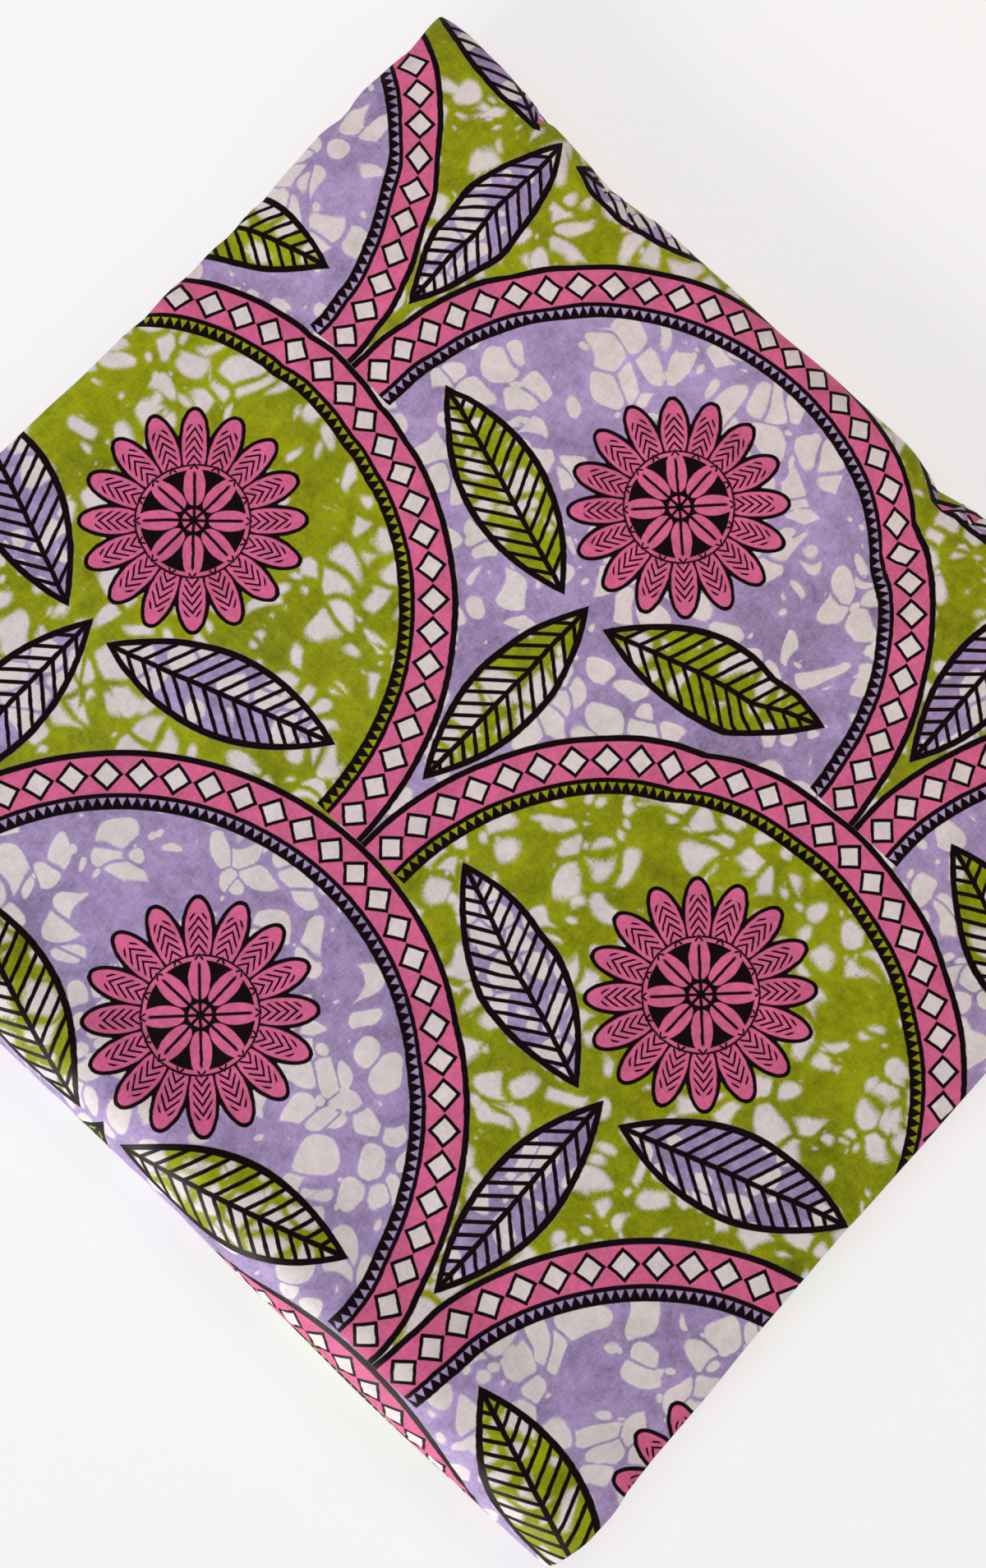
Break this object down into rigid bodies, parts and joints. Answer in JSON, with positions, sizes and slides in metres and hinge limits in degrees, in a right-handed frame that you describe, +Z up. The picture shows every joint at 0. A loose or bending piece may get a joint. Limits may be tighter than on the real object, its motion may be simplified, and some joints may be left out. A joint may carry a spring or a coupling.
{
  "type": "folded wax print fabric",
  "caption": "Length of printed cotton folded into a flat, layered rectangular bundle with one round spine and loose fold loops on the other side.",
  "frame": {"origin": "bottom centre of the bounding box, on the surface the bundle lies on", "axes": "+Z up; +X across the cloth's folded width, towards the crisp fold edges; +Y from the round spine towards the open fold loops"},
  "size_m": [0.3952, 0.3732, 0.036],
  "materials": {
    "printed_cotton": "plain-weave cotton with a faint wax glaze, printed in lime, lilac, pink and black on white",
    "printed_cotton_layers": "the same printed cotton, seen on its fold edges and selvedges"
  },
  "bodies": {
    "root": {"outer_fold": "printed_cotton", "inner_folds": "printed_cotton_layers"}
  },
  "joints": []
}
